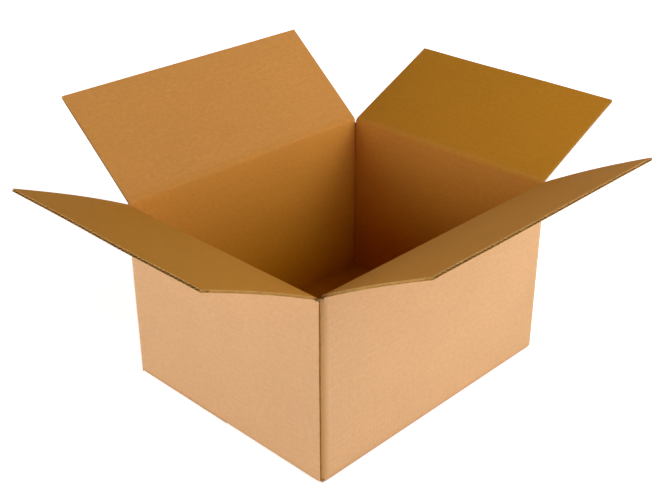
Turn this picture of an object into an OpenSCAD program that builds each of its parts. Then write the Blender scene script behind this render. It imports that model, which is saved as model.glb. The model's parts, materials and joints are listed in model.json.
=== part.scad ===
// Regular slotted carton of single-wall corrugated board, standing open.
// One scored and slotted sheet: four walls, a glue lap inside the front left corner, glued bottom flaps,
// and four top flaps that swing on their score lines.
// Millimetres, +Z up, origin under the middle of the floor.

/* [Carton] */
// Inside length, along X
inside_length = 500; // [250:5:800]
// Inside width, along Y
inside_width = 404; // [200:4:600]
// Height of the score line of the outer flaps above the surface that the carton stands on
wall_height = 304; // [150:2:600]

/* [Board] */
// Thickness of the board
board = 4; // [3:0.1:6]
// Thickness of each flat liner
liner = 0.45; // [0.3:0.05:0.7]
// Thickness of the fluted medium between the liners
medium = 0.35; // [0.2:0.05:0.5]
// Distance from one flute to the next
flute_pitch = 7.8; // [6:0.1:10]
// Half width of the rounded crest of a flute
flute_crest = 0.6; // [0.3:0.05:1]
// Depth to which the flutes are open behind a cut edge
flute_depth = 12; // [4:1:30]

/* [Folds] */
// Radius inside an upright or bottom fold
fold_inner_radius = 1; // [0.5:0.1:4]
// Radius inside the fold of the glue lap, which rolls under the wall that it is glued to
lap_inner_radius = 2; // [0.5:0.1:5]
// Thickness of the glue line between the lap and the left wall
glue_line = 0.3; // [0.1:0.05:0.6]
// Width of the glue lap
lap_width = 35; // [20:1:50]
// Slant of the lap's upper and lower ends
lap_slant_angle = 12; // [5:1:25]
// Distance of the lap's ends from the creases
lap_setback = 14; // [8:1:30]

/* [Score lines] */
// Crushed board left between a score's axis and the nearer face
crease_skin = 1.1; // [0.8:0.05:1.4]
// Room between a crease and the flap's or wall's edge at it
crease_gap = 0.25; // [0.2:0.05:0.5]
// Room between an inner flap and the outer flap that closes over it
layer_gap = 0.3; // [0.2:0.05:1]
// Angle by which an outer flap turns inward from upright
outer_close_angle = 90; // [85:0.5:90]
// Angle by which the chord of a closed inner flap dips below level, clear of the outer flaps
inner_dip_angle = 1.25; // [0.5:0.25:3]
// Angle by which a flap turns outward from upright
open_limit_angle = 135; // [100:1:140]

/* [Slots and flaps] */
// Room between an inner flap's side and the wall beside it
side_clearance = 1; // [0.5:0.1:3]
// Depth of a slot below the inner flaps' score line
slot_overcut = 6; // [0.5:0.5:12]
// The same at the glue joint, where the slots end higher
joint_overcut = 1; // [0.5:0.5:12]
// Gap between the edges of the two outer flaps where they meet
seam_gap = 1; // [0.5:0.5:4]
// Straight stretch of a flap next to its score line, before it bows
flap_root = 14; // [12:1:30]

/* [Flaps at rest] */
// Mean lean of the left inner flap, outward from upright
left_lean_angle = 65; // [0:0.5:100]
// Bow of the left inner flap from score line to free edge
left_bow_angle = 6.5; // [0.5:0.5:8]
// Mean lean of the right inner flap
right_lean_angle = 64.5; // [0:0.5:100]
// Bow of the right inner flap
right_bow_angle = 1; // [0.5:0.5:8]
// Mean lean of the front outer flap
front_lean_angle = 62; // [0:0.5:100]
// Bow of the front outer flap
front_bow_angle = 5.5; // [0.5:0.5:8]
// Mean lean of the back outer flap
back_lean_angle = 49.5; // [0:0.5:100]
// Bow of the back outer flap
back_bow_angle = 1; // [0.5:0.5:8]

/* [Hidden] */

outer_liner_colour = [0.87, 0.70, 0.52];
inner_liner_colour = [0.74, 0.53, 0.30];

half_length = inside_length / 2 + board;
half_width = inside_width / 2 + board;

fold_radius = board + fold_inner_radius;
lap_radius = board + lap_inner_radius;
slot_inset = board + max(side_clearance, fold_inner_radius);

// A score's axis lies near the outer face on an inner flap and near the inner face on an outer flap,
// so that closed outer flaps lie just above closed inner ones
inner_axis_depth = crease_skin;
outer_axis_depth = board - crease_skin;
outer_axis_z = wall_height;
inner_axis_z = outer_axis_z - 2 * crease_skin - layer_gap;

// The bow turns a flap's edge back up, so inner flaps close further than outer ones
inner_close_angle = outer_close_angle + max(left_bow_angle, right_bow_angle) / 2 + inner_dip_angle;

// Flaps are cut from the sheet along one line, so inner flaps are longer by the offset of their score,
// unless they would meet first
outer_flap_length = half_width - outer_axis_depth - seam_gap / 2;
inner_flap_length = min(outer_flap_length + outer_axis_z - inner_axis_z,
    half_length - inner_axis_depth - seam_gap / 2);
outer_bottom_reach = half_width - seam_gap / 2;
inner_bottom_reach = min(outer_bottom_reach, half_length - seam_gap / 2);

// The front panel starts past the rolled fold of the glue lap, the others at their slots
short_panel_width = 2 * (half_width - slot_inset);
back_panel_width = 2 * (half_length - slot_inset);
lap_face_x = -half_length + board + glue_line;
front_panel_start = lap_face_x + lap_radius;
front_panel_width = half_length - slot_inset - front_panel_start;
front_panel_shift = front_panel_start + front_panel_width / 2;

// Walls are whole between the bottom folds and the feet of the creases or the slots, whichever are lower
fold_top_z = board + fold_radius;
outer_foot_z = outer_axis_z - outer_axis_depth * tan(open_limit_angle / 2);
inner_foot_z = inner_axis_z - (board - inner_axis_depth) * tan(inner_close_angle / 2);
crease_foot_z = min(outer_foot_z, inner_foot_z) - crease_gap;
slot_bottom_z = board;
slot_top_z = inner_axis_z - slot_overcut;
joint_top_z = inner_axis_z - joint_overcut;
whole_top_z = min(crease_foot_z, slot_top_z, joint_top_z);

// A flute's opening is as wide at its base as the slanting medium on either side leaves it
flute_rise = board - 2 * liner - medium;
flank_run = flute_pitch / 2 - 2 * flute_crest;
flank_web = medium * norm([flank_run, flute_rise]) / flute_rise;
flute_base = flute_crest + (flank_run - flank_web) / (1 - medium / flute_rise);

// Turns from the left wall to each wall, seen from above
left_turn = 0;
front_turn = 90;
right_turn = 180;
back_turn = 270;

bow_steps = 12;
$fn = 48;

// Quarter ring of board, in the quadrant where both coordinates are negative
module folded_corner(radius) {
    intersection() {
        difference() {
            circle(r = radius);
            circle(r = radius - board);
        }
        translate([-radius, -radius]) square(radius);
    }
}

// Plan of the walls: three folded corners, and the front left corner where the front wall rolls under
// the cut edge of the left wall
module wall_plan() {
    corner_x = half_length - fold_radius;
    corner_y = half_width - fold_radius;
    translate([-half_length, -half_width]) square([board, half_width + corner_y]);
    translate([-corner_x, corner_y]) mirror([0, 1]) folded_corner(fold_radius);
    translate([-corner_x, half_width - board]) square([2 * corner_x, board]);
    translate([corner_x, corner_y]) rotate(180) folded_corner(fold_radius);
    translate([half_length - board, -corner_y]) square([board, 2 * corner_y]);
    translate([corner_x, -corner_y]) mirror([1, 0]) folded_corner(fold_radius);
    translate([front_panel_start, -half_width]) square([corner_x - front_panel_start, board]);
    translate([front_panel_start, -half_width + lap_radius]) folded_corner(lap_radius);
}

// Corners that stand between the slots: a square at each fold
module corner_plan() {
    side_x = half_length - slot_inset;
    side_y = half_width - slot_inset;
    intersection() {
        wall_plan();
        union() {
            translate([-half_length, side_y]) square(slot_inset);
            translate([side_x, side_y]) square(slot_inset);
            translate([side_x, -half_width]) square(slot_inset);
        }
    }
}

// Corner at the glue joint: the end of the left wall with the lap's fold
module joint_plan() {
    intersection() {
        wall_plan();
        translate([-half_length, -half_width]) square([front_panel_start + half_length, slot_inset]);
    }
}

// Section of a wall with its bottom flap, outer face at x = 0 and the inside towards +x
module wall_section(axis_depth, axis_z, close_angle, floor_z, bottom_reach) {
    top_z = axis_z - crease_gap;
    polygon([
        [0, floor_z + fold_radius],
        [board, floor_z + fold_radius],
        [board, top_z - (board - axis_depth) * tan(close_angle / 2)],
        [axis_depth, top_z],
        [0, top_z - axis_depth * tan(open_limit_angle / 2)]
    ]);
    translate([fold_radius, floor_z + fold_radius]) folded_corner(fold_radius);
    translate([fold_radius, floor_z]) square([bottom_reach - fold_radius, board]);
}

// One wall with its bottom flap, turned to its side of the carton
module wall_panel(turn, reach, width, shift, axis_depth, axis_z, close_angle, floor_z, bottom_reach) {
    rotate([0, 0, turn])
        translate([-reach, -shift, 0])
            rotate([90, 0, 0])
                linear_extrude(height = width, center = true)
                    wall_section(axis_depth, axis_z, close_angle, floor_z, bottom_reach);
}

// Glue lap on the inside of the left wall, its ends cut on a slant
module glue_lap() {
    root_y = -half_width + lap_radius;
    drop = lap_width * tan(lap_slant_angle);
    low = fold_top_z + lap_setback;
    high = crease_foot_z - lap_setback;
    translate([lap_face_x, 0, 0])
        rotate([90, 0, 90])
            linear_extrude(height = board)
                polygon([
                    [root_y, low],
                    [root_y + lap_width, low + drop],
                    [root_y + lap_width, high - drop],
                    [root_y, high]
                ]);
}

// Openings between the liners and the medium, seen on a cut edge: one below and one above each crest
module flute_openings(width) {
    count = floor((width - flute_pitch) / flute_pitch);
    opening = [
        [0, -flute_base],
        [0, flute_base],
        [flute_rise, flute_crest],
        [flute_rise, -flute_crest]
    ];
    for (i = [0 : count - 1]) {
        along = (i - count / 2) * flute_pitch;
        translate([liner, along + flute_pitch / 4]) polygon(opening);
        translate([board - liner, along + flute_pitch * 3 / 4]) mirror([1, 0]) polygon(opening);
    }
}

// Open flutes at the free edge of an inner bottom flap
module bottom_flutes(turn) {
    rotate([0, 0, turn])
        translate([inner_bottom_reach + flute_depth - half_length, 0, board])
            rotate([0, -90, 0])
                linear_extrude(height = 2 * flute_depth)
                    flute_openings(short_panel_width);
}

module carton_body() {
    color(outer_liner_colour) difference() {
        union() {
            translate([0, 0, fold_top_z])
                linear_extrude(height = whole_top_z - fold_top_z)
                    wall_plan();
            translate([0, 0, slot_bottom_z]) {
                linear_extrude(height = slot_top_z - slot_bottom_z) corner_plan();
                linear_extrude(height = joint_top_z - slot_bottom_z) joint_plan();
            }
            glue_lap();
            for (turn = [left_turn, right_turn])
                wall_panel(turn, half_length, short_panel_width, 0,
                    inner_axis_depth, inner_axis_z, inner_close_angle, board, inner_bottom_reach);
            wall_panel(front_turn, half_width, front_panel_width, front_panel_shift,
                outer_axis_depth, outer_axis_z, outer_close_angle, 0, outer_bottom_reach);
            wall_panel(back_turn, half_width, back_panel_width, 0,
                outer_axis_depth, outer_axis_z, outer_close_angle, 0, outer_bottom_reach);
        }
        for (turn = [left_turn, right_turn]) bottom_flutes(turn);
    }
}

// Point of a bowed flap's section: depth from the score's axis towards the inner face, then height
function bowed(depth, turn, radius) =
    [(radius + depth) * cos(turn) - radius, flap_root + (radius + depth) * sin(turn)];

// Section of an upright flap, its score's axis at the origin and the inside towards +x
module flap_section(axis_depth, close_angle, bow, radius) {
    inner = board - axis_depth;
    polygon(concat(
        [
            [0, crease_gap],
            [inner, crease_gap + inner * tan(close_angle / 2)]
        ],
        [for (i = [0 : bow_steps]) bowed(inner, bow * i / bow_steps, radius)],
        [for (i = [bow_steps : -1 : 0]) bowed(-axis_depth, bow * i / bow_steps, radius)],
        [[-axis_depth, crease_gap + axis_depth * tan(open_limit_angle / 2)]]
    ));
}

// One top flap in its place: bowed board, bevelled at the score, with its flutes open at the free edge
module top_flap(turn, reach, width, shift, axis_depth, axis_z, length, close_angle, lean, bow) {
    radius = (length - flap_root) / (bow * PI / 180);
    tip = bowed(0, bow, radius);
    flap_width = width - 2 * crease_gap;
    rotate([0, 0, turn])
        translate([axis_depth - reach, -shift, axis_z])
            rotate([0, bow / 2 - lean, 0])
                difference() {
                    rotate([90, 0, 0])
                        linear_extrude(height = flap_width, center = true)
                            flap_section(axis_depth, close_angle, bow, radius);
                    translate([tip[0], 0, tip[1]])
                        rotate([0, -bow, 0])
                            translate([-axis_depth, 0, -flute_depth])
                                linear_extrude(height = 2 * flute_depth)
                                    flute_openings(flap_width);
                }
}

module inner_flap_left() {
    color(inner_liner_colour)
        top_flap(left_turn, half_length, short_panel_width, 0,
            inner_axis_depth, inner_axis_z, inner_flap_length, inner_close_angle,
            left_lean_angle, left_bow_angle);
}

module inner_flap_right() {
    color(inner_liner_colour)
        top_flap(right_turn, half_length, short_panel_width, 0,
            inner_axis_depth, inner_axis_z, inner_flap_length, inner_close_angle,
            right_lean_angle, right_bow_angle);
}

module outer_flap_front() {
    color(inner_liner_colour)
        top_flap(front_turn, half_width, front_panel_width, front_panel_shift,
            outer_axis_depth, outer_axis_z, outer_flap_length, outer_close_angle,
            front_lean_angle, front_bow_angle);
}

module outer_flap_back() {
    color(inner_liner_colour)
        top_flap(back_turn, half_width, back_panel_width, 0,
            outer_axis_depth, outer_axis_z, outer_flap_length, outer_close_angle,
            back_lean_angle, back_bow_angle);
}

carton_body();
inner_flap_left();
inner_flap_right();
outer_flap_front();
outer_flap_back();
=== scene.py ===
"""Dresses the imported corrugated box: folded board with liners, flutes and scores, kraft paper, a studio."""
import json
import math
from dataclasses import dataclass

import bpy
import numpy as np
from mathutils import Euler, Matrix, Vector


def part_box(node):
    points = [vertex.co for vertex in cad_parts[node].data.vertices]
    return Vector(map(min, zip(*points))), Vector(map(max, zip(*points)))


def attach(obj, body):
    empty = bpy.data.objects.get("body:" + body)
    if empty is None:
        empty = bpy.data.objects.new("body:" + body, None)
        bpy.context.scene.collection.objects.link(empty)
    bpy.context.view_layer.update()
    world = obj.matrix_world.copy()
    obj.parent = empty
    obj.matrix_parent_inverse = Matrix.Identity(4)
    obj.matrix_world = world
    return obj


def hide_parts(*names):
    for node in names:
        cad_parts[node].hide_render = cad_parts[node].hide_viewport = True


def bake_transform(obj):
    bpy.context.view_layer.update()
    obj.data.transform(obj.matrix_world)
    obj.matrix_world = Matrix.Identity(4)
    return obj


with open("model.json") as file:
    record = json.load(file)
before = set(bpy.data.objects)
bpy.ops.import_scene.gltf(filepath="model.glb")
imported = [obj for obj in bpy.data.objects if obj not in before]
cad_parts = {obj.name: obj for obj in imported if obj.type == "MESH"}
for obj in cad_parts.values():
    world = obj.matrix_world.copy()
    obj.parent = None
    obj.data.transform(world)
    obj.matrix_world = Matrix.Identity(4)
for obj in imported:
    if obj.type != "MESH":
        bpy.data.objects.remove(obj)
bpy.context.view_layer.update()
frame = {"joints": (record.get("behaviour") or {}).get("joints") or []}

MM = 0.001
UP = np.array((0.0, 0.0, 1.0))


def joint_named(name):
    """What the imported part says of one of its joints."""
    return next(joint for joint in frame["joints"] if joint["name"] == name)


# Board, in millimetres like every size below
BOARD = 4.0
LINER = 0.45
MEDIUM = 0.35
PITCH = 7.8            # from one flute to the next
FLUTE_DEPTH = 12.0     # how far an open flute goes in behind its cut edge
FLUTE_STEPS = 12       # points along one flute
SET_BACK = 0.35        # how far the medium's end lies behind the liners' ends
CUT_GROOVE = 3.5       # how far the medium lies back on an edge that is cut along the flutes
POST_GROOVE = 0.6      # the same on the narrow posts at the corners and at the lap's fold

# Walls and bottom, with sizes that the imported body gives
carton_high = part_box("carton_body")[1]
HALF_LENGTH = carton_high.x / MM
HALF_WIDTH = carton_high.y / MM
FOLD = 5.0             # outer radius of a fold, and width of a slot
INNER_FOLD = FOLD - BOARD
FOLD_STEPS = 14
SCORE_DEPTH = 2.0      # how far the crushed score of an upright fold dips into the inner face
SCORE_REACH = 3.5
SEAM_GAP = 1.0
SLOT_LOW = BOARD       # slots end here below the walls
JOINT_LOW = 2 * BOARD  # and here at the glue joint, where the photo shows a dark gap
SLOT_OVERCUT = 6.0     # above the walls they end this far under the inner flaps' scores
JOINT_OVERCUT = 1.0    # the same at the glue joint
inner_score = joint_named("left_crease")["pos_m"][2] / MM
SLOT_HIGH = inner_score - SLOT_OVERCUT
JOINT_HIGH = inner_score - JOINT_OVERCUT
WALL_LOW = 14.0        # the walls' own patch ends here, and the folds take over
WALL_HIGH = 294.0
WALL_STEP = 24.0       # between columns of the walls and flaps
WALL_ROWS = 15
BOTTOM_STEP = 40.0     # between columns of the bottom flaps
TOUCH = 0.01           # a column this close to a post's side belongs to it

# Glue lap
GLUE_LINE = 0.3
LAP_FOLD = 6.0         # outer radius of the lap's fold, where it meets the left wall
LAP_ROLL = 15.0        # length of front wall that rolls towards that fold
LAP_WIDTH = 35.0
LAP_SLANT = 12.0       # degrees
LAP_LOW = 23.0
LAP_HIGH = 282.7
LAP_COLUMNS = 7
LAP_ROWS = 9
LAP_FACE = -HALF_LENGTH + BOARD + GLUE_LINE

# Top flaps
OPEN_LIMIT = 135.0     # a flap's furthest lean from upright, in degrees
FLAP_ROOT = 14.0       # straight stretch of a flap next to its score
SIDE_GAP = 0.25        # a flap is narrower than its panel by this, at each side
FOLD_REACH = 3.5       # the crushed score rounds the inner face this far to both sides
VALLEY_REACH = 2.2     # and the outer face this far
BEAD = 0.07            # height to which the flutes show through the crushed score
BEAD_REACH = 3.0
BEAD_STEPS = 6         # points along one bead

# Unevenness of the board
WAVE_COUNT = 5
WAVE_SPAN = (0.7, 1.6)     # shortest and longest wave, as shares of a size
WAVE_PEAK = 3.0        # about the highest that their sum comes to
WALL_RIPPLE = 0.35
FLAP_RIPPLE = 0.45
FLUTE_DRIFT = 0.35     # of the flutes along the sheet, in radians
FLUTE_SAG = 0.08       # share of its height that a flute may lose
RAGGED = 0.15          # of the medium's cut end
BEAD_RIPPLE = 0.5      # as a share of the beads
WALL_WAVES = (160.0, 1)    # size and seed of each unevenness
FLAP_WAVES = (190.0, 2)
BEAD_WAVES = (9.0, 5)
DRIFT_WAVES = (60.0, 11)
SAG_WAVES = (25.0, 12)
RAGGED_WAVES = (12.0, 13)
NEAR_EDGE = np.array((0.0, 0.8, 2.0, 4.5, 10.0, 20.0))   # columns close to an edge or a fold

# Wear and painted shade, from 1 where the paper is rubbed to -1 where shade is painted on it at the glue
# joint and the bottom folds
FOLD_WEAR = 0.4
TIP_WEAR = 0.75        # of the posts' ends
EDGE_WEAR = 0.2
SCORE_WEAR = 0.06
WEAR_REACH = 2.2
WEAR_PATCHY = 0.15     # least share of the wear that shows in between
JOINT_PAINTED_SHADE = 0.9      # painted shade on the roll, where it meets the left wall
FOOT_PAINTED_SHADE = 0.45      # painted shade on the bottom folds, where the floor's shadow falls

OUTER, INNER, CUT, CORE = range(4)     # papers, in the order of a piece's materials
OUTER_TONE = (0.72, 0.424, 0.216)
OUTER_WORN = (0.82, 0.57, 0.35)
INNER_SHADED_TONE = (0.65, 0.264, 0.004)      # painted shade: darker and browner than the outer kraft, where the painted inner shade is 1, deep in the carton
INNER_PALE = (0.80, 0.362, 0.090)      # where the painted inner shade is 0, still browner than the outer kraft by painted shade
INNER_WORN = (0.72, 0.37, 0.09)
CUT_TONE = (0.72, 0.41, 0.15)
CORE_TONE = (0.66, 0.40, 0.12)
PAINTED_SHADE_SHARE = (0.70, 0.64, 0.42)           # share of its colour that paper keeps where shade is painted on it
DARK_SPECK = (0.45, 0.36, 0.30)        # colour of specks, as shares of the paper's
PALE_SPECK = (1.12, 1.16, 1.25)
TOP_PAINTED_SHADE = 0.42      # painted shade of the inner paper at the top of the walls
PAINTED_SHADE_REACH = 400.0   # and how far down it would rise by 1, the inside painted darker and browner towards the bottom

# Grain of the paper: size along and up the sheet, levels of finer detail and how strong they are
CLOUDS = ((95.0, 70.0), 3.0, 0.55)
MOTTLE = ((9.0, 5.0), 4.0, 0.55)
FIBRES = ((3.2, 0.55), 4.0, 0.65)
STREAKS = ((60.0, 1.6), 2.0, 0.55)
SPECKS = ((1.5, 0.9), 1.0, 0.55)
CLOUD_TINT = 0.015     # share by which each one changes the colour
MOTTLE_TINT = 0.05
FIBRE_TINT = 0.075
STREAK_TINT = 0.03
NOISE_LOW = 0.25       # most of a noise lies from here
NOISE_MIDDLE = 0.5
NOISE_HIGH = 0.75      # to here
SPECK_RARITY = 0.215   # how far from the middle the noise has to be for a speck
FLUTE_SHOW = 0.02      # height to which the flutes show through a liner
FIBRE_HEIGHT = 0.05
MOTTLE_HEIGHT = 0.06
KRAFT_ROUGHNESS = (0.74, 0.9)
KRAFT_GLOSS = 0.12
COARSE_PULP = 120.0    # noise features a metre on cut paper
FINE_PULP = 1400.0
COARSE_TINT = 0.25
FINE_TINT = 0.2
PULP_ROUGHNESS = (0.88, 1.0)
PULP_GLOSS = 0.05

# Studio, in metres and watts
SOFTBOX_AIM = 0.2      # height that the lights look at
SOFTBOXES = (          # name, azimuth, elevation, distance, size and power
    ("left_key", -110, 5, 3.0, 2.2, 90),
    ("front_key", 4, 16, 3.0, 2.2, 38),
    ("corner_fill", -46, 8, 3.0, 2.2, 9),
    ("right_fill", 45, 30, 3.0, 2.2, 28),
    ("right_accent", 25, 28, 1.35, 0.9, 4.5),
    ("back_fill", 134, 4, 3.0, 2.2, 18),
)
WHITE = (1.0, 1.0, 1.0, 1.0)
BLACK = (0.0, 0.0, 0.0, 1.0)
WORLD_LEVEL = 0.02
FLOOR_SIZE = 30.0
FLOOR_NEAR = 0.55      # the floor's own white starts to rise at this distance from the middle
FLOOR_FAR = 1.3        # and is full here
FLOOR_GLOW = 0.74
FLOOR_WHITE = (0.95, 0.95, 0.95, 1.0)
FLOOR_PAPER = (0.72, 0.72, 0.72, 1.0)
PAINTED_SHADOW_REACH = 0.006    # painted shadow: the floor turns dark over this distance in under the outer bottom flaps

# Camera of the photograph, from a perspective fit to the edges of the box
CAMERA_PLACE = (-1.1138, -1.0694, 1.0162)
CAMERA_YAW = 45.76
CAMERA_PITCH = 27.72
CAMERA_ROLL = -0.07
CAMERA_LENS = 59.53
CAMERA_SENSOR = 36.0


@dataclass
class Side:
    """One wall with its flaps: how it stands, where it lies on the flat sheet and how its top flap leans."""

    name: str
    flap_node: str
    turn: float        # heading of the sheet along this wall, in degrees
    reach: float       # from the middle of the carton to the outer face
    start: float       # ends of the panel along the heading
    end: float
    floor: float       # underside of the bottom flap
    bow: float         # bend of the top flap from score to free edge, in degrees
    warmth: float      # painted shade on the inside of the top flap, from 0 to 1
    roll_end: float = -math.inf    # where the roll towards the glue lap ends, along the heading
    sheet: float = 0.0     # place of the wall's middle along the flat sheet

    def __post_init__(self):
        """Takes the flap's body, axis and lean from its joint."""
        joint = joint_named(self.name + "_crease")
        self.flap_body = joint["child"]
        self.axis = Vector(joint["pos_m"])
        self.axis_height = self.axis.z / MM
        self.axis_depth = self.reach - math.hypot(self.axis.x, self.axis.y) / MM
        self.lean = OPEN_LIMIT - joint["range_deg"][1]
        turn = math.radians(self.turn)
        self.heading = np.array((math.cos(turn), math.sin(turn), 0.0))
        self.inward = np.array((-math.sin(turn), math.cos(turn), 0.0))

    def place(self, along, depth, height, roll=0.0):
        """Points in the row frame from places along the wall, in from its outer face, and up.

        roll is the share in which the points follow the front wall's roll towards the glue lap.
        """
        depth = depth + roll * LAP_FOLD * (1 - np.sqrt(1 - self.rolled(along) ** 2))
        along, depth, height = np.broadcast_arrays(along, depth, height)
        return (along[..., None] * self.heading + (depth - self.reach)[..., None] * self.inward
                + height[..., None] * UP)

    def rolled(self, along):
        """Share of the roll towards the glue lap that lies behind a place along the wall."""
        return np.clip((self.roll_end - along) / LAP_ROLL, 0, 1)

    def flap_section(self, run, depth):
        """Depth and height of a point on the leaning flap, at a run from its score and a depth in it."""
        run, depth = np.broadcast_arrays(run, depth)
        radius = (self.flap_length - FLAP_ROOT) / math.radians(self.bow)
        turn = np.maximum(run - FLAP_ROOT, 0) / radius
        off = depth - self.axis_depth
        across = (radius + off) * np.cos(turn) - radius
        upward = np.minimum(run, FLAP_ROOT) + (radius + off) * np.sin(turn)
        lean = math.radians(self.lean)
        return (self.axis_depth + across * math.cos(lean) - upward * math.sin(lean),
                self.axis_height + across * math.sin(lean) + upward * math.cos(lean))

    @property
    def flap_length(self):
        """All four flaps are cut from the sheet along one line."""
        outer_axis = joint_named("front_crease")["pos_m"]
        return (outer_axis[2] + abs(outer_axis[1])) / MM - SEAM_GAP / 2 - self.axis_height


def make_sides():
    """The walls in the order of the sheet, from the glue lap's fold round to the left wall's cut edge."""
    panel_x, panel_y = HALF_LENGTH - FOLD, HALF_WIDTH - FOLD
    front_start, roll_end = LAP_FACE + LAP_FOLD, LAP_FACE + LAP_ROLL
    # Each side's warmth is painted shade on the inside of its top flap, darker where the flap gets less
    # light.
    sides = (
        Side("front", "outer_flap_front", 0, HALF_WIDTH, front_start, panel_x,
             floor=0.0, bow=5.5, warmth=0.55, roll_end=roll_end),
        Side("right", "inner_flap_right", 90, HALF_LENGTH, -panel_y, panel_y,
             floor=BOARD, bow=1.0, warmth=0.8),
        Side("back", "outer_flap_back", 180, HALF_WIDTH, -panel_x, panel_x,
             floor=0.0, bow=1.0, warmth=0.0),
        Side("left", "inner_flap_left", 270, HALF_LENGTH, -panel_y, panel_y,
             floor=BOARD, bow=6.5, warmth=0.65),
    )
    along = 0.0
    for side in sides:
        side.sheet = along - side.start
        along += side.end - side.start + FOLD * math.pi / 2
    return sides


def ripple(u, v, size, seed):
    """Smooth uneven waves of about unit height over the flat sheet, the same on every run."""
    rng = np.random.default_rng(seed)
    total = 0.0
    for _ in range(WAVE_COUNT):
        angle, phase = rng.uniform(0, 2 * math.pi, 2)
        wave = size * rng.uniform(*WAVE_SPAN)
        total = total + np.sin(2 * math.pi * (u * math.cos(angle) + v * math.sin(angle)) / wave + phase)
    return total / WAVE_PEAK


def spread(start, end, step):
    """Places from start to end, closer together near both ends."""
    middle = np.linspace(start + NEAR_EDGE[-1], end - NEAR_EDGE[-1], max(2, round((end - start) / step)))
    return np.concatenate((start + NEAR_EDGE[:-1], middle, end - NEAR_EDGE[-2::-1]))


def nearest(places, ends):
    """Distance from each place to the nearest of some ends."""
    return np.min([np.abs(places - end) for end in ends], axis=0)


def wear_near(places, ends):
    """Wear that fades with the distance from the nearest of some ends."""
    return EDGE_WEAR * np.exp(-nearest(places, ends) / WEAR_REACH)


def score_dip(distance):
    """How far the inner face dips at a distance from the middle of an upright fold."""
    return SCORE_DEPTH * np.exp(-(distance / SCORE_REACH) ** 2)


def lengths_along(line):
    """Distance along a line of points, from its first one."""
    return np.append(0, np.cumsum(np.linalg.norm(np.diff(line, axis=0), axis=1)))


def rounded(start, corner, end):
    """Points of a smooth bend from start to end, with the corner that it rounds off."""
    t = np.linspace(0, 1, FOLD_STEPS + 1)[:, None]
    return (1 - t) ** 2 * start + 2 * t * (1 - t) * corner + t ** 2 * end


def outward(outer, inner):
    """Level unit vectors out of the board, from the points of its faces in plan."""
    out = np.append(outer - inner, np.zeros((len(outer), 1)), axis=1)
    return out / np.linalg.norm(out, axis=1)[:, None]


def flute_wave(place):
    """Depth of the medium's middle in the board at places along the sheet, and half its cut width there."""
    phase = 2 * math.pi * place / PITCH + FLUTE_DRIFT * ripple(place, 0, *DRIFT_WAVES)
    sag = FLUTE_SAG * np.abs(ripple(place, 0, *SAG_WAVES))
    swing = (BOARD / 2 - LINER - MEDIUM / 2) * (1 - sag)
    slope = swing * 2 * math.pi / PITCH * np.sin(phase)
    return BOARD / 2 + swing * np.cos(phase), MEDIUM / 2 * np.sqrt(1 + slope ** 2)


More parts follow.
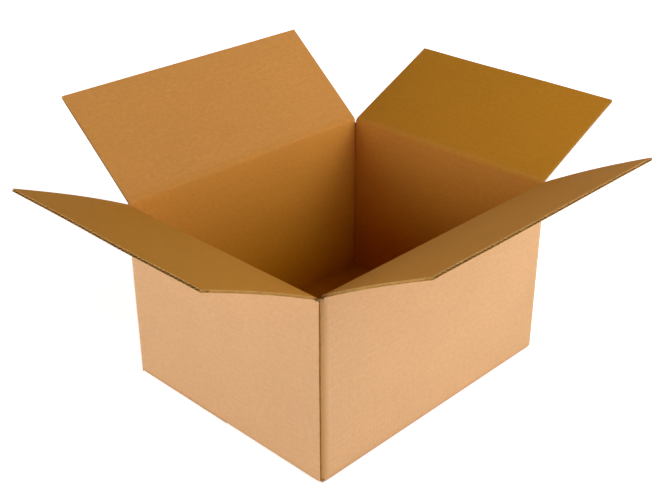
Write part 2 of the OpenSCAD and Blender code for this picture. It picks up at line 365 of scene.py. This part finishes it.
class Piece:
    """Collects patches of board in millimetres and makes one mesh object of them."""

    def __init__(self, name, warmth=1.0):
        self.name = name
        self.warmth = warmth
        self.count = 0
        self.points, self.chart, self.wear, self.warm, self.quads, self.papers = [], [], [], [], [], []

    def patch(self, points, chart, paper, facing, wear=0.0, warmth=None):
        """Adds a grid of points as quads. chart is their place on the sheet, facing the way they look."""
        shape = points.shape[:2]
        index = self.count + np.arange(shape[0] * shape[1]).reshape(shape)
        quads = np.stack((index[:-1, :-1], index[:-1, 1:], index[1:, 1:], index[1:, :-1]), -1)
        normal = np.cross(points[:-1, 1:] - points[:-1, :-1], points[1:, :-1] - points[:-1, :-1])
        looks = np.broadcast_to(facing, points.shape)[:-1, :-1]
        if (normal * looks).sum() < 0:
            quads = quads[..., ::-1]
        flat_sheet = np.stack(np.broadcast_arrays(*chart), -1)
        self.points.append(points.reshape(-1, 3))
        self.chart.append(np.broadcast_to(flat_sheet, shape + (2,)).reshape(-1, 2))
        self.wear.append(np.broadcast_to(wear, shape).ravel())
        self.warm.append(np.broadcast_to(self.warmth if warmth is None else warmth, shape).ravel())
        self.quads.append(quads.reshape(-1, 4))
        self.papers.append(np.full(quads.shape[0] * quads.shape[1], paper))
        self.count += shape[0] * shape[1]

    def cut_edge(self, outer_line, inner_line, chart, inward, groove=CUT_GROOVE):
        """Closes an edge that is cut along the flutes: two liners with a groove between them."""
        across = inner_line - outer_line
        near_outer = outer_line + across * (LINER / BOARD)
        near_inner = inner_line - across * (LINER / BOARD)
        back = np.asarray(inward) * groove
        lines = (outer_line, near_outer, near_outer + back, near_inner + back, near_inner, inner_line)
        papers = (CUT, CORE, CORE, CORE, CUT)
        facings = (-back, across, -back, -across, -back)
        for first, second, paper, facing in zip(lines, lines[1:], papers, facings):
            self.patch(np.stack((first, second)), chart, paper, facing)

    def cut_sides(self, side, along, level, outer_grid, inner_grid):
        """Closes both side edges of a flap or crease, which are cut along the flutes."""
        for column, inward in ((0, side.heading), (-1, -side.heading)):
            chart = (np.full(len(level), side.sheet + along[column]), level)
            self.cut_edge(outer_grid[:, column], inner_grid[:, column], chart, inward)

    def fluted_edge(self, at, start, end, sheet, level):
        """Closes an edge that is cut across the flutes. at(along, back, depth) gives the board's points."""
        steps = round((end - start) / PITCH * FLUTE_STEPS)
        along = np.linspace(start, end, steps + 1)
        place = sheet + along
        wave, half = flute_wave(place)
        set_back = SET_BACK + RAGGED * ripple(place, 0, *RAGGED_WAVES)
        out = at(along, 0.0, 0.0) - at(along, 1.0, 0.0)
        across = at(along, 0.0, 1.0) - at(along, 0.0, 0.0)
        chart = (place, np.full_like(place, level))

        def between(backs, depths, paper, facing):
            """Adds the strip between two lines, each at a distance back from the edge and a depth."""
            rows = [at(along, back, depth) for back, depth in zip(backs, depths)]
            self.patch(np.stack(rows), chart, paper, facing)

        between((0, 0), (0, LINER), CUT, out)
        between((0, 0), (BOARD - LINER, BOARD), CUT, out)
        between((0, FLUTE_DEPTH), (LINER, LINER), CORE, across)
        between((0, FLUTE_DEPTH), (BOARD - LINER, BOARD - LINER), CORE, -across)
        between((set_back, set_back), (wave - half, wave + half), CORE, out)
        between((set_back, FLUTE_DEPTH), (wave - half, wave - half), CORE, -across)
        between((set_back, FLUTE_DEPTH), (wave + half, wave + half), CORE, across)
        between((FLUTE_DEPTH, FLUTE_DEPTH), (LINER, BOARD - LINER), CORE, out)

    def finish(self, papers):
        """Makes the object, with its chart as UVs in millimetres, wear with painted shade and the painted
        inner shade as attributes.
        """
        points, quads = np.concatenate(self.points), np.concatenate(self.quads)
        mesh = bpy.data.meshes.new(self.name)
        mesh.from_pydata((points * MM).tolist(), [], quads.tolist())
        mesh.polygons.foreach_set("material_index", np.concatenate(self.papers).astype(np.int32))
        mesh.shade_smooth()
        corners = np.zeros(len(mesh.loops), np.int32)
        mesh.loops.foreach_get("vertex_index", corners)
        chart = mesh.uv_layers.new(name="sheet")
        chart.data.foreach_set("uv", np.concatenate(self.chart)[corners].astype(np.float32).ravel())
        for name, parts in (("wear", self.wear), ("warmth", self.warm)):
            values = mesh.attributes.new(name, "FLOAT", "POINT")
            values.data.foreach_set("value", np.concatenate(parts).astype(np.float32))
        for paper in papers:
            mesh.materials.append(paper)
        mesh.update()
        piece = bpy.data.objects.new(self.name, mesh)
        bpy.context.scene.collection.objects.link(piece)
        return piece


def straight_columns(side, start, end, folds):
    """Columns of a wall: place on the flat sheet, outer and inner points in plan, and wear."""
    along = spread(start, end, WALL_STEP)
    gap = nearest(along, folds)
    dip = score_dip(gap + FOLD * math.pi / 4)
    outer, inner = side.place(along, 0, 0), side.place(along, BOARD - dip, 0)
    return side.sheet + along, outer[:, :2], inner[:, :2], FOLD_WEAR * np.exp(-gap / WEAR_REACH)


def fold_columns(side, start_angle):
    """Columns of the upright fold before a wall on the sheet, with the dip of its crushed score inside."""
    turn = np.radians(np.linspace(0, 90, FOLD_STEPS + 1))
    angle = math.radians(start_angle) + turn
    circle = np.stack((np.cos(angle), np.sin(angle)), -1)
    centre = side.place(side.start, FOLD, 0)[:2]
    inner_radius = INNER_FOLD + score_dip(FOLD * (turn - math.pi / 4))
    place = side.sheet + side.start - FOLD * (math.pi / 2 - turn)
    inner = centre + circle * inner_radius[:, None]
    return place, centre + circle * FOLD, inner, np.full(len(turn), FOLD_WEAR)


def roll_columns(front):
    """Columns of the front wall's end, which rolls on an ellipse into the fold of the glue lap."""
    angle = np.radians(np.linspace(180, 270, 2 * FOLD_STEPS + 1))
    circle = np.stack((np.cos(angle), np.sin(angle)), -1)
    centre = np.array((front.roll_end, -HALF_WIDTH + LAP_FOLD))
    outer = centre + circle * (LAP_ROLL, LAP_FOLD)
    inner = centre + circle * (LAP_ROLL - BOARD, LAP_FOLD - BOARD)
    length = lengths_along(outer)
    # Painted shade: the roll darkens towards the glue lap's fold.
    painted_fold_shade = -JOINT_PAINTED_SHADE * front.rolled(outer[:, 0])
    return front.sheet + front.roll_end + length - length[-1], outer, inner, painted_fold_shade


def wall_columns(sides):
    """Columns of all the folded walls, from the lap's fold to the left wall's cut edge."""
    front, right, back, left = sides
    stretches = [
        roll_columns(front),
        straight_columns(front, front.roll_end, front.end, (front.end,)),
        fold_columns(right, -90),
        straight_columns(right, right.start, right.end, (right.start, right.end)),
        fold_columns(back, 0),
        straight_columns(back, back.start, back.end, (back.start, back.end)),
        fold_columns(left, 90),
        straight_columns(left, left.start, HALF_WIDTH, (left.start,)),
    ]
    joined = stretches[:1] + [[part[1:] for part in stretch] for stretch in stretches[1:]]
    return [np.concatenate(parts) for parts in zip(*joined)]


def stand_up(plan, heights):
    """Grid of points with a row for each height over points in plan."""
    grid = np.empty((len(heights), len(plan), 3))
    grid[..., :2] = plan
    grid[..., 2] = np.asarray(heights)[:, None]
    return grid


def add_walls(piece, columns):
    """The four walls as one sheet, slightly uneven and closed at both ends."""
    place, outer, inner, wear = columns
    heights = np.linspace(WALL_LOW, WALL_HIGH, WALL_ROWS)
    out = outward(outer, inner)
    calm = np.sin(math.pi * (heights - WALL_LOW) / (WALL_HIGH - WALL_LOW))[:, None] * (1 - np.abs(wear))
    uneven = WALL_RIPPLE * calm * ripple(place, heights[:, None], *WALL_WAVES)
    outer_grid = stand_up(outer, heights) + uneven[..., None] * out
    inner_grid = stand_up(inner, heights) + uneven[..., None] * out
    chart = (place, heights[:, None])
    piece.patch(outer_grid, chart, OUTER, out, wear)
    # Painted shade: the inside turns darker and browner towards the bottom of the walls.
    warmth = np.clip(TOP_PAINTED_SHADE + (WALL_HIGH - heights) / PAINTED_SHADE_REACH, 0, 1)
    piece.patch(inner_grid, chart, INNER, -out, wear, warmth[:, None])
    for column, inward, groove in ((0, (0, -1, 0), POST_GROOVE), (-1, (0, 1, 0), CUT_GROOVE)):
        end_chart = (np.full(len(heights), place[column]), heights)
        piece.cut_edge(outer_grid[:, column], inner_grid[:, column], end_chart, inward, groove)


def post_gaps(place, sides):
    """Stretches of the sheet between the slots, with the heights where they end below and above."""
    front, left = sides[0], sides[-1]
    gaps = [(side.sheet + side.end, after.sheet + after.start, SLOT_LOW, SLOT_HIGH)
            for side, after in zip(sides, sides[1:])]
    gaps.append((place[0], front.sheet + front.start, JOINT_LOW, JOINT_HIGH))
    gaps.append((left.sheet + left.end, place[-1], JOINT_LOW, JOINT_HIGH))
    return gaps


def add_post(piece, columns, near, base, tip):
    """Corner post over the columns near a fold, from its base on the walls to its tip."""
    place, outer, inner, wear = (part[near] for part in columns)
    last = len(columns[0]) - 1
    heights = np.array((base, tip))
    out = outward(outer, inner)
    # Painted shade stays on the posts at the glue joint's roll.
    wear = np.stack((wear, np.where(wear < 0, wear, TIP_WEAR)))
    outer_grid, inner_grid = stand_up(outer, heights), stand_up(inner, heights)
    chart = (place, heights[:, None])
    piece.patch(outer_grid, chart, OUTER, out, wear)
    piece.patch(inner_grid, chart, INNER, -out, wear)
    ends = np.stack((outer_grid[1], inner_grid[1]))
    piece.patch(ends, (place, np.full(len(near), tip)), CUT, (0, 0, tip - base))
    for column, toward in ((0, 1), (-1, -2)):
        way = outer_grid[0, toward] - outer_grid[0, column]
        inward = way / np.linalg.norm(way)
        side_chart = (np.full(2, place[column]), heights)
        groove = CUT_GROOVE if near[column] == last else POST_GROOVE
        piece.cut_edge(outer_grid[:, column], inner_grid[:, column], side_chart, inward, groove)


def add_posts(piece, columns, sides):
    """Corners that stand on between the slots, below the walls and above them."""
    place = columns[0]
    for start, end, bottom, top in post_gaps(place, sides):
        near = np.flatnonzero((place > start - TOUCH) & (place < end + TOUCH))
        add_post(piece, columns, near, WALL_LOW, bottom)
        add_post(piece, columns, near, WALL_HIGH, top)


def bottom_section(side, depth, angle, run):
    """Section of one face of a bottom flap and its fold: places in from the wall's outer face, and up."""
    radius = FOLD - depth
    ins = np.concatenate(((depth,), FOLD - radius * np.cos(angle), run))
    ups = np.concatenate(((WALL_LOW,), side.floor + FOLD - radius * np.sin(angle),
                          np.full(len(run), side.floor + depth)))
    return ins, ups


def add_bottom(piece, side):
    """Bottom fold and bottom flap of one wall, with fluted and plain cut edges."""
    reach = HALF_WIDTH - SEAM_GAP / 2
    angle = np.radians(np.linspace(0, 90, FOLD_STEPS + 1))
    run = spread(FOLD, reach, BOTTOM_STEP)[1:]
    along = spread(side.start, side.end, BOTTOM_STEP)
    roll = np.concatenate(((1,), np.cos(angle), np.zeros(len(run))))[:, None]
    fold_share = np.cos(angle - math.pi / 4) ** 2
    # Painted shade on the bottom fold, where the floor's shadow falls.
    painted_fold_shade = FOOT_PAINTED_SHADE * np.concatenate(((0,), fold_share, np.zeros(len(run))))[:, None]
    grids = []
    for depth, paper, sign in ((0, OUTER, -1), (BOARD, INNER, 1)):
        ins, ups = bottom_section(side, depth, angle, run)
        grid = side.place(along, ins[:, None], ups[:, None], roll)
        level = WALL_LOW - lengths_along(np.stack((ins, ups), -1))
        wear = np.maximum(wear_near(along, (side.start, side.end)), wear_near(ins, (reach,))[:, None])
        # Painted shade on the bottom fold, and under the glue joint's roll.
        wear = wear - np.maximum(painted_fold_shade, JOINT_PAINTED_SHADE * roll * side.rolled(along))
        piece.patch(grid, (side.sheet + along, level[:, None]), paper, sign * (side.inward + UP), wear)
        grids.append(grid)
    piece.cut_sides(side, along, level, *grids)

    def at(places, back, depth):
        return side.place(places, reach - back, side.floor + depth)

    piece.fluted_edge(at, side.start, side.end, side.sheet, level[-1])


def add_lap(piece, place):
    """Glue lap on the inside of the left wall, its ends cut on a slant. place is where its fold lies."""
    run = np.linspace(0, LAP_WIDTH, LAP_COLUMNS)
    drop = run * math.tan(math.radians(LAP_SLANT))
    share = np.linspace(0, 1, LAP_ROWS)[:, None]
    heights = (LAP_LOW + drop) * (1 - share) + (LAP_HIGH - drop) * share
    grids = []
    for depth, paper, way in ((0, OUTER, (-1, 0, 0)), (BOARD, INNER, (1, 0, 0))):
        grid = np.empty(heights.shape + (3,))
        grid[..., 0] = LAP_FACE + depth
        grid[..., 1] = -HALF_WIDTH + LAP_FOLD + run
        grid[..., 2] = heights
        piece.patch(grid, (place - run, heights), paper, way, wear_near(run, (LAP_WIDTH,)))
        grids.append(grid)
    outer_grid, inner_grid = grids
    edge_chart = (np.full(len(share), place - LAP_WIDTH), heights[:, -1])
    piece.cut_edge(outer_grid[:, -1], inner_grid[:, -1], edge_chart, (0, -1, 0))
    for row, way in ((0, (0, 0, 1)), (-1, (0, 0, -1))):
        piece.cut_edge(outer_grid[row], inner_grid[row], (place - run, heights[row]), way)


def make_carton(sides, papers):
    """Walls, lap and closed bottom: one folded sheet, which stands for the body."""
    piece = Piece("carton")
    columns = wall_columns(sides)
    add_walls(piece, columns)
    add_posts(piece, columns, sides)
    add_lap(piece, columns[0][0])
    for side in sides:
        add_bottom(piece, side)
    carton = piece.finish(papers)
    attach(carton, "carton")
    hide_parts("carton_body")


def make_flap(side, papers):
    """Top flap of one wall from its root to the fluted free edge, slightly uneven."""
    piece = Piece(side.name + "_top_flap", side.warmth)
    start, end = side.start + SIDE_GAP, side.end - SIDE_GAP
    along = spread(start, end, WALL_STEP)
    run = spread(FLAP_ROOT, side.flap_length, WALL_STEP)

    def at(places, runs, depth):
        calm = np.clip((runs - FLAP_ROOT) / (side.flap_length - FLAP_ROOT), 0, 1)
        uneven = FLAP_RIPPLE * calm * ripple(side.sheet + places, side.axis_height + runs, *FLAP_WAVES)
        return side.place(places, *side.flap_section(runs, depth - uneven))

    grids = [at(along, run[:, None], depth) for depth in (0, BOARD)]
    chart = (side.sheet + along, side.axis_height + run[:, None])
    wear = np.maximum(wear_near(along, (start, end)), wear_near(run, (side.flap_length,))[:, None])
    across = grids[1] - grids[0]
    piece.patch(grids[0], chart, OUTER, -across, wear)
    piece.patch(grids[1], chart, INNER, across, wear)
    piece.cut_sides(side, along, side.axis_height + run, *grids)
    piece.fluted_edge(lambda places, back, depth: at(places, side.flap_length - back, depth),
                      start, end, side.sheet, side.axis_height + side.flap_length)
    flap = piece.finish(papers)
    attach(flap, side.flap_body)
    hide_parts(side.flap_node)


def crease_line(side, depth, reach):
    """Section of one face through the score: up the wall, round the fold and out to the flap's root."""
    wall = np.array((depth, side.axis_height - reach))
    flap = np.array(side.flap_section(reach, depth))
    off = (depth - side.axis_depth) * math.tan(math.radians(side.lean) / 2)
    corner = np.array((depth, side.axis_height + off))
    foot = np.array(((depth, WALL_HIGH), (depth, (WALL_HIGH + wall[1]) / 2)))
    root = np.stack(side.flap_section(np.array(((reach + FLAP_ROOT) / 2, FLAP_ROOT)), depth), -1)
    return np.concatenate((foot, rounded(wall, corner, flap), root))


def add_crease_face(piece, side, along, depth, reach, paper, sign):
    """One face of a crease, with the flutes' beads and the score's wear. Gives its points and levels."""
    place = side.sheet + along
    line = crease_line(side, depth, reach)
    share = lengths_along(line)[:, None] / lengths_along(line)[-1]
    height = side.axis_height + FLAP_ROOT - WALL_HIGH
    level = WALL_HIGH + share * height
    tangent = np.gradient(line, axis=0)
    tangent /= np.linalg.norm(tangent, axis=1)[:, None]
    normal = sign * np.stack((tangent[:, 1], -tangent[:, 0]), -1)
    crushed = np.exp(-((share - 0.5) * height / BEAD_REACH) ** 2)
    uneven = BEAD_RIPPLE * ripple(place, level, *BEAD_WAVES)
    bead = BEAD * crushed * (np.cos(2 * math.pi * place / PITCH) + uneven)
    depths, heights = (line[:, i:i + 1] + normal[:, i:i + 1] * bead for i in range(2))
    grid = side.place(along, depths, heights, 1 - share)
    looks = normal[:, :1] * side.inward + normal[:, 1:] * UP
    wear = np.maximum(SCORE_WEAR * crushed, wear_near(along, (along[0], along[-1])))
    # Painted shade on the crease along the glue joint's roll, fading upwards.
    wear = wear - JOINT_PAINTED_SHADE * (1 - share) * side.rolled(along)
    # Painted shade, from the walls' top value to the flap's own value along the crease.
    warmth = TOP_PAINTED_SHADE + (side.warmth - TOP_PAINTED_SHADE) * share
    piece.patch(grid, (place, level), paper, looks[:, None], wear, warmth)
    return grid, level


def make_crease(side, papers):
    """Scored fold between a wall and its flap, built at the flap's lean."""
    piece = Piece(side.name + "_crease")
    half_lean = math.radians(side.lean) / 2
    valley = side.axis_depth * math.tan(half_lean) + VALLEY_REACH
    start, end = side.start + SIDE_GAP, side.end - SIDE_GAP
    along = np.linspace(start, end, round((end - start) / PITCH * BEAD_STEPS) + 1)
    outer_grid, level = add_crease_face(piece, side, along, 0, valley, OUTER, -1)
    inner_grid, _ = add_crease_face(piece, side, along, BOARD, FOLD_REACH, INNER, 1)
    piece.cut_sides(side, along, level[:, 0], outer_grid, inner_grid)
    crease = piece.finish(papers)
    middle = np.array(side.axis)
    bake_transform(crease)


class Nodes:
    """Adds shader nodes, with values set on their own sockets and links made from other nodes' sockets."""

    def __init__(self, owner):
        owner.use_nodes = True
        self.tree = owner.node_tree
        self.tree.nodes.clear()

    def join(self, socket, value):
        """Sets a socket to a value, or links it to another node's socket."""
        if isinstance(value, bpy.types.NodeSocket):
            self.tree.links.new(value, socket)
        else:
            socket.default_value = value

    def add(self, kind, settings=None, inputs=None):
        """Adds a node. inputs are keyed by the socket's name, or by its number where names repeat."""
        node = self.tree.nodes.new(kind)
        for name, value in (settings or {}).items():
            setattr(node, name, value)
        for key, value in (inputs or {}).items():
            self.join(node.inputs[key], value)
        return node

    def parts(self, vector):
        """The first two parts of a vector."""
        return self.add("ShaderNodeSeparateXYZ", None, {"Vector": vector}).outputs[:2]

    def math(self, operation, first, second):
        """Result of an operation on two values. Some operations use only the first."""
        return self.add("ShaderNodeMath", {"operation": operation}, {0: first, 1: second}).outputs[0]

    def attribute(self, name):
        """A value that the mesh holds for each of its points."""
        return self.add("ShaderNodeAttribute", {"attribute_name": name}).outputs["Fac"]

    def noise(self, chart, size, detail, roughness):
        """Noise from 0 to 1 with features of a size in millimetres, along and up the sheet."""
        scaled = self.add("ShaderNodeVectorMath", {"operation": "MULTIPLY"},
                          {0: chart, 1: (1 / size[0], 1 / size[1], 1.0)}).outputs[0]
        return self.add("ShaderNodeTexNoise", {"noise_dimensions": "2D"}, {
            "Vector": scaled, "Scale": 1.0, "Detail": detail, "Roughness": roughness,
        }).outputs["Fac"]

    def spread(self, value, low, high, from_low=NOISE_LOW, from_high=NOISE_HIGH):
        """A value carried from one range to another."""
        return self.add("ShaderNodeMapRange", None, {
            "Value": value, "From Min": from_low, "From Max": from_high, "To Min": low, "To Max": high,
        }).outputs["Result"]

    def tint(self, colour, noise, span):
        """A colour that a noise varies by a span to both sides."""
        factor = self.spread(noise, 1 - span, 1 + span)
        scaled = self.add("ShaderNodeVectorMath", {"operation": "SCALE"}, {0: colour, "Scale": factor})
        return scaled.outputs[0]

    def mix(self, factor, first, second):
        """A mix of two colours, which may be sockets."""
        return self.add("ShaderNodeMix", {"data_type": "RGBA"},
                        {"Factor": factor, 6: first, 7: second}).outputs[2]

    def shown(self):
        """1 for a ray that shows the background to the camera, straight or by way of a surface."""
        path = self.add("ShaderNodeLightPath")
        seen = self.math("MAXIMUM", path.outputs["Is Glossy Ray"], path.outputs["Is Transmission Ray"])
        return self.math("MAXIMUM", path.outputs["Is Camera Ray"], seen)

    def paper(self, colour, height, roughness, gloss):
        """Ends a material with a dull surface, its bumps in millimetres."""
        bump = self.add("ShaderNodeBump", None, {"Strength": 1.0, "Distance": MM, "Height": height})
        shader = self.add("ShaderNodeBsdfPrincipled", None, {
            "Base Color": colour, "Roughness": roughness, "Specular IOR Level": gloss,
            "Normal": bump.outputs[0],
        })
        self.add("ShaderNodeOutputMaterial", None, {"Surface": shader.outputs[0]})


def shade(colour, factor):
    """A colour times a factor, or times one factor for each channel, with an alpha of 1."""
    return (*np.minimum(np.array(colour) * factor, 1.0), 1.0)


def add_specks(n, paper, chart, colour, strength):
    """Dark and pale specks of pulp on a paper."""
    dots = n.noise(chart, *SPECKS)
    dark = n.math("GREATER_THAN", dots, NOISE_MIDDLE + SPECK_RARITY)
    pale = n.math("LESS_THAN", dots, NOISE_MIDDLE - SPECK_RARITY)
    paper = n.mix(n.math("MULTIPLY", dark, strength), paper, shade(colour, DARK_SPECK))
    return n.mix(n.math("MULTIPLY", pale, strength), paper, shade(colour, PALE_SPECK))


def add_wear(n, paper, mottle, colour, worn):
    """Rubbed places and painted shade on a paper, by the sign of its wear and painted shade."""
    wear = n.attribute("wear")
    rubbed = n.math("MULTIPLY", wear, n.spread(mottle, WEAR_PATCHY, 1.0))
    paper = n.mix(rubbed, paper, shade(worn, 1.0))
    # Negative values are painted shade, darkening the paper's colour.
    return n.mix(n.math("MULTIPLY", wear, -1.0), paper, shade(colour, PAINTED_SHADE_SHARE))


def paper_height(n, chart, mottle, fibres):
    """Height of the flutes that show through, the fibres and the mottling, in millimetres."""
    along = n.parts(chart)[0]
    flutes = n.math("SINE", n.math("MULTIPLY", along, 2 * math.pi / PITCH), 0.0)
    height = n.math("MULTIPLY", flutes, FLUTE_SHOW)
    height = n.math("ADD", height, n.math("MULTIPLY", fibres, FIBRE_HEIGHT))
    return n.math("ADD", height, n.math("MULTIPLY", mottle, MOTTLE_HEIGHT))


def make_kraft(name, tone_without_painted_shade, colour, worn, speck):
    """Kraft paper: clouds, mottling, fibres across the flutes, specks, wear at edges and folds, and painted
    shade at some folds and deep in the carton.

    It has its tone without painted shade where the painted inner shade is 0. speck is how far the specks
    stand out, from 0 to 1.
    """
    material = bpy.data.materials.new(name)
    n = Nodes(material)
    chart = n.add("ShaderNodeUVMap", {"uv_map": "sheet"}).outputs[0]
    clouds, mottle, fibres, streaks = (n.noise(chart, *grain) for grain in (CLOUDS, MOTTLE, FIBRES, STREAKS))
    # Painted shade: the inner paper darkens and browns by its painted shade attribute.
    paper = n.mix(n.attribute("warmth"), shade(tone_without_painted_shade, 1.0), shade(colour, 1.0))
    tints = (clouds, CLOUD_TINT), (mottle, MOTTLE_TINT), (fibres, FIBRE_TINT), (streaks, STREAK_TINT)
    for noise, span in tints:
        paper = n.tint(paper, noise, span)
    paper = add_specks(n, paper, chart, colour, speck)
    paper = add_wear(n, paper, mottle, colour, worn)
    height = paper_height(n, chart, mottle, fibres)
    n.paper(paper, height, n.spread(mottle, *KRAFT_ROUGHNESS), KRAFT_GLOSS)
    return material


def make_core(name, colour, fuzz):
    """Raw paper of cut edges and fluting: uneven, with fuzz of a height in millimetres."""
    material = bpy.data.materials.new(name)
    n = Nodes(material)
    place = n.add("ShaderNodeNewGeometry").outputs["Position"]
    coarse, fine = (n.add("ShaderNodeTexNoise", None, {"Vector": place, "Scale": scale}).outputs["Fac"]
                    for scale in (COARSE_PULP, FINE_PULP))
    paper = n.mix(coarse, shade(colour, 1 - COARSE_TINT), shade(colour, 1 + COARSE_TINT))
    paper = n.tint(paper, fine, FINE_TINT)
    n.paper(paper, n.math("MULTIPLY", fine, fuzz), n.spread(fine, *PULP_ROUGHNESS), PULP_GLOSS)
    return material


def make_papers():
    """The four papers of a piece, in the order of OUTER, INNER, CUT and CORE."""
    return (
        make_kraft("outer_kraft", OUTER_TONE, OUTER_TONE, OUTER_WORN, speck=0.35),
        # The inner kraft is the outer paper with painted shade, darker and browner.
        make_kraft("inner_kraft_painted_shade", INNER_PALE, INNER_SHADED_TONE, INNER_WORN, speck=0.45),
        make_core("cut_paper", CUT_TONE, fuzz=0.25),
        make_core("fluting", CORE_TONE, fuzz=0.2),
    )


def make_floor():
    """Pale floor: white to the camera apart from the box's soft shadow, with a painted shadow, black, under
    the outer bottom flaps; plain white paper to the light.
    """
    bpy.ops.mesh.primitive_plane_add(size=FLOOR_SIZE)
    floor = bpy.context.object
    floor.name = "floor"
    material = bpy.data.materials.new("floor")
    n = Nodes(material)
    place = n.add("ShaderNodeNewGeometry").outputs["Position"]
    away = n.add("ShaderNodeVectorMath", {"operation": "LENGTH"}, {0: place}).outputs["Value"]
    level = n.spread(away, FLOOR_GLOW, 1.0, FLOOR_NEAR, FLOOR_FAR)
    past = [n.math("SUBTRACT", n.math("ABSOLUTE", part, 0.0), reach * MM)
            for part, reach in zip(n.parts(place), (HALF_LENGTH - FOLD, HALF_WIDTH))]
    # Painted shadow: to the camera the floor turns black under the outer bottom flaps.
    outside_painted_shadow = n.spread(n.math("MAXIMUM", *past), 0.0, 1.0, -PAINTED_SHADOW_REACH, 0.0)
    glow = n.add("ShaderNodeEmission", None, {"Strength": n.math("MULTIPLY", level, outside_painted_shadow)}).outputs[0]
    # Painted shadow: the floor's colour turns black under the box.
    white = n.mix(outside_painted_shadow, BLACK, FLOOR_WHITE)
    shaded = n.add("ShaderNodeBsdfDiffuse", None, {"Color": white}).outputs[0]
    lit = n.add("ShaderNodeAddShader", None, {0: glow, 1: shaded}).outputs[0]
    plain = n.add("ShaderNodeBsdfDiffuse", None, {"Color": FLOOR_PAPER}).outputs[0]
    surface = n.add("ShaderNodeMixShader", None, {0: n.shown(), 1: plain, 2: lit}).outputs[0]
    n.add("ShaderNodeOutputMaterial", None, {"Surface": surface})
    floor.data.materials.append(material)


def make_world():
    """Even light from all round, white where the camera looks past the floor."""
    world = bpy.data.worlds.new("studio")
    bpy.context.scene.world = world
    n = Nodes(world)
    light = n.add("ShaderNodeBackground", None, {"Color": WHITE, "Strength": WORLD_LEVEL}).outputs[0]
    white = n.add("ShaderNodeBackground", None, {"Color": WHITE, "Strength": 1.0}).outputs[0]
    surface = n.add("ShaderNodeMixShader", None, {0: n.shown(), 1: light, 2: white}).outputs[0]
    n.add("ShaderNodeOutputWorld", None, {"Surface": surface})


def add_softbox(name, azimuth, elevation, distance, size, power):
    light = bpy.data.lights.new(name, "AREA")
    light.shape = "SQUARE"
    light.size = size
    light.energy = power
    lamp = bpy.data.objects.new(name, light)
    bpy.context.scene.collection.objects.link(lamp)
    a, e = math.radians(azimuth), math.radians(elevation)
    away = Vector((math.sin(a) * math.cos(e), -math.cos(a) * math.cos(e), math.sin(e)))
    lamp.location = Vector((0, 0, SOFTBOX_AIM)) + away * distance
    lamp.rotation_euler = (-away).to_track_quat("-Z", "Y").to_euler()


def make_camera():
    """Camera at the photograph's place and angle."""
    camera = bpy.data.cameras.new("camera")
    camera.sensor_width = CAMERA_SENSOR
    camera.lens = CAMERA_LENS
    holder = bpy.data.objects.new("camera", camera)
    holder.location = CAMERA_PLACE
    yaw, pitch, roll = (math.radians(angle) for angle in (CAMERA_YAW, CAMERA_PITCH, CAMERA_ROLL))
    level = Euler((math.pi / 2 - pitch, 0, -yaw)).to_quaternion()
    holder.rotation_mode = "QUATERNION"
    holder.rotation_quaternion = level @ Euler((0, 0, roll)).to_quaternion()
    bpy.context.scene.collection.objects.link(holder)
    bpy.context.scene.camera = holder


def main():
    """Builds the pieces and the studio."""
    bpy.context.scene.view_settings.view_transform = "Standard"
    sides = make_sides()
    papers = make_papers()
    make_carton(sides, papers)
    for side in sides:
        make_flap(side, papers)
        make_crease(side, papers)
    make_floor()
    make_world()
    for softbox in SOFTBOXES:
        add_softbox(*softbox)
    make_camera()


main()
